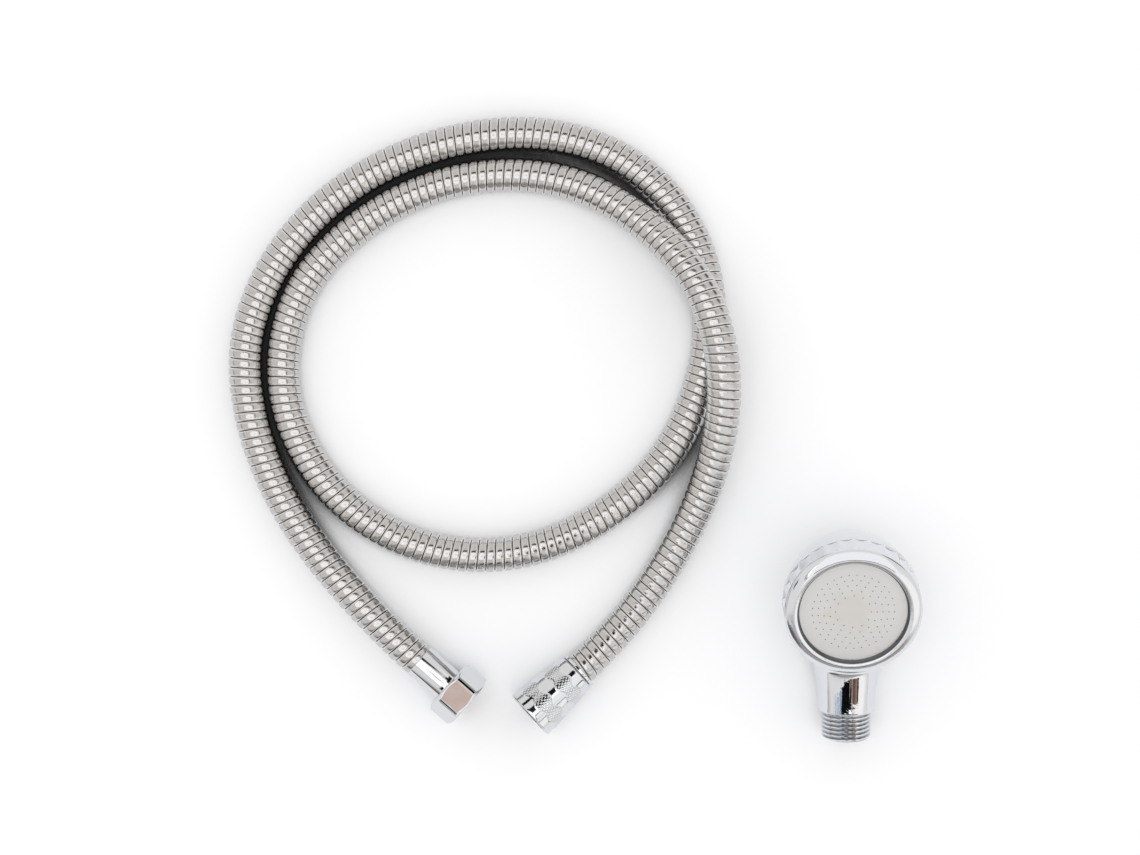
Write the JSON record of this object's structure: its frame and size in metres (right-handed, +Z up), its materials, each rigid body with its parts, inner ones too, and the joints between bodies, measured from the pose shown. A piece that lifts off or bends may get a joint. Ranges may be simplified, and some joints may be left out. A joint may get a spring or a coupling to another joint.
{
  "type": "handheld bath sprayer",
  "caption": "Chromed handheld bath sprayer head with a screw-on face ring and a perforated steel plate, beside its coiled steel hose with a cone nut and a hex nut.",
  "frame": {"origin": "under the middle of the sprayer head, on the surface that the head and the hose lie on", "axes": "+Z up, -Y along the head towards its threaded inlet, +X to the right seen from above with the inlet pointing down"},
  "size_m": [0.2909, 0.2654, 0.0579],
  "materials": {
    "chromed_plastic": "bright chrome plating on moulded plastic",
    "spray_steel": "satin stainless sheet",
    "seal_rubber": "matt",
    "casing_steel": "polished strip-wound stainless steel",
    "liner_rubber": "smooth",
    "chromed_brass": "bright chrome plating on brass",
    "raw_brass": "machined",
    "slip_plastic": "matt"
  },
  "bodies": {
    "head": {"head_shell": "chromed_plastic"},
    "plate_pack": {"spray_plate": "spray_steel", "plate_seal": "seal_rubber"},
    "face_ring": {"face_ring": "chromed_plastic"},
    "hose": {"hose_casing": "casing_steel", "hose_liner": "liner_rubber", "cone_tail": "raw_brass", "cone_ferrule": "chromed_brass", "cone_washer": "seal_rubber", "cone_screen": "spray_steel", "hex_tail": "raw_brass", "hex_ferrule": "chromed_brass", "hex_washer": "seal_rubber", "cone_slip_ring": "slip_plastic"},
    "cone_nut": {"cone_nut": "chromed_brass"},
    "hex_slip": {"hex_slip_ring": "slip_plastic"},
    "hex_nut": {"hex_nut": "chromed_brass"}
  },
  "joints": [
    {"name": "ring_travel", "type": "slide", "parent": "head", "child": "plate_pack", "axis": [0, -0.4069, 0.9135], "range_m": [0, 0.0075]},
    {"name": "ring_unscrew", "type": "hinge", "parent": "plate_pack", "child": "face_ring", "pos_m": [0, 0.0105, 0.0474], "axis": [0, -0.4069, 0.9135], "range_deg": [0, 1080]},
    {"name": "hose_lift", "type": "slide", "parent": "head", "child": "hose", "axis": [0, 0, 1], "range_m": [0, 0.06]},
    {"name": "cone_spin", "type": "hinge", "parent": "hose", "child": "cone_nut", "pos_m": [-0.113, -0.015, 0.00877], "axis": [-0.7333, -0.6722, 0.1023], "continuous": true},
    {"name": "hex_slide", "type": "slide", "parent": "hose", "child": "hex_slip", "axis": [-0.7526, 0.6585, 0], "range_m": [0, 0.014]},
    {"name": "hex_spin", "type": "hinge", "parent": "hex_slip", "child": "hex_nut", "pos_m": [-0.181, -0.011, 0.01105], "axis": [0.7526, -0.6585, 0], "continuous": true}
  ],
  "couplings": [
    {"joint": "ring_travel", "follows": "ring_unscrew", "m_per_rad": 0.00039789}
  ]
}
